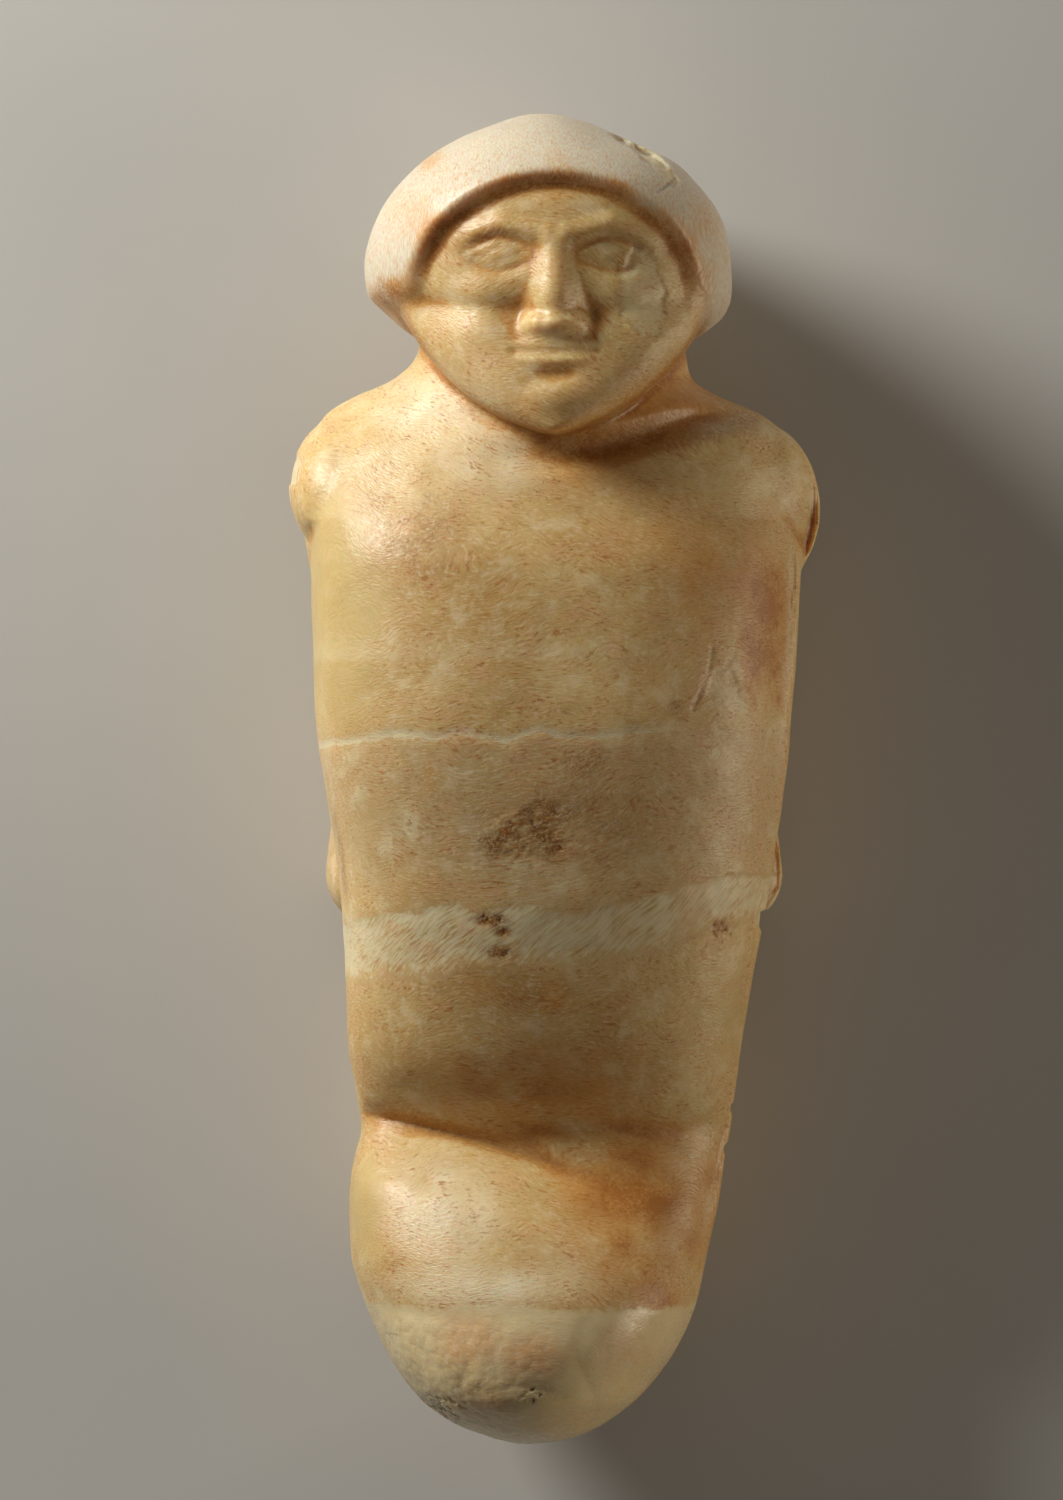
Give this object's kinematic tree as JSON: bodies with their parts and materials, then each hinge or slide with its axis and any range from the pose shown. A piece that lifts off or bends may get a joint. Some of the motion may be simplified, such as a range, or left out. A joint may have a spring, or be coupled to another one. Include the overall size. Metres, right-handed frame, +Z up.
{
  "type": "egyptian figurine",
  "caption": "Small kneeling captive with the arms tied behind the back, carved from one block of banded calcite and worn smooth, lying on its back.",
  "frame": {"origin": "middle of the figure's outline, on the plane that it lies on", "axes": "+Y towards the crown of the head, +X towards the figure's left hand, +Z up, the way the face looks"},
  "size_m": [0.058, 0.1452, 0.04],
  "materials": {
    "stone": "worn polish"
  },
  "bodies": {
    "root": {"figurine": "stone"}
  },
  "joints": []
}
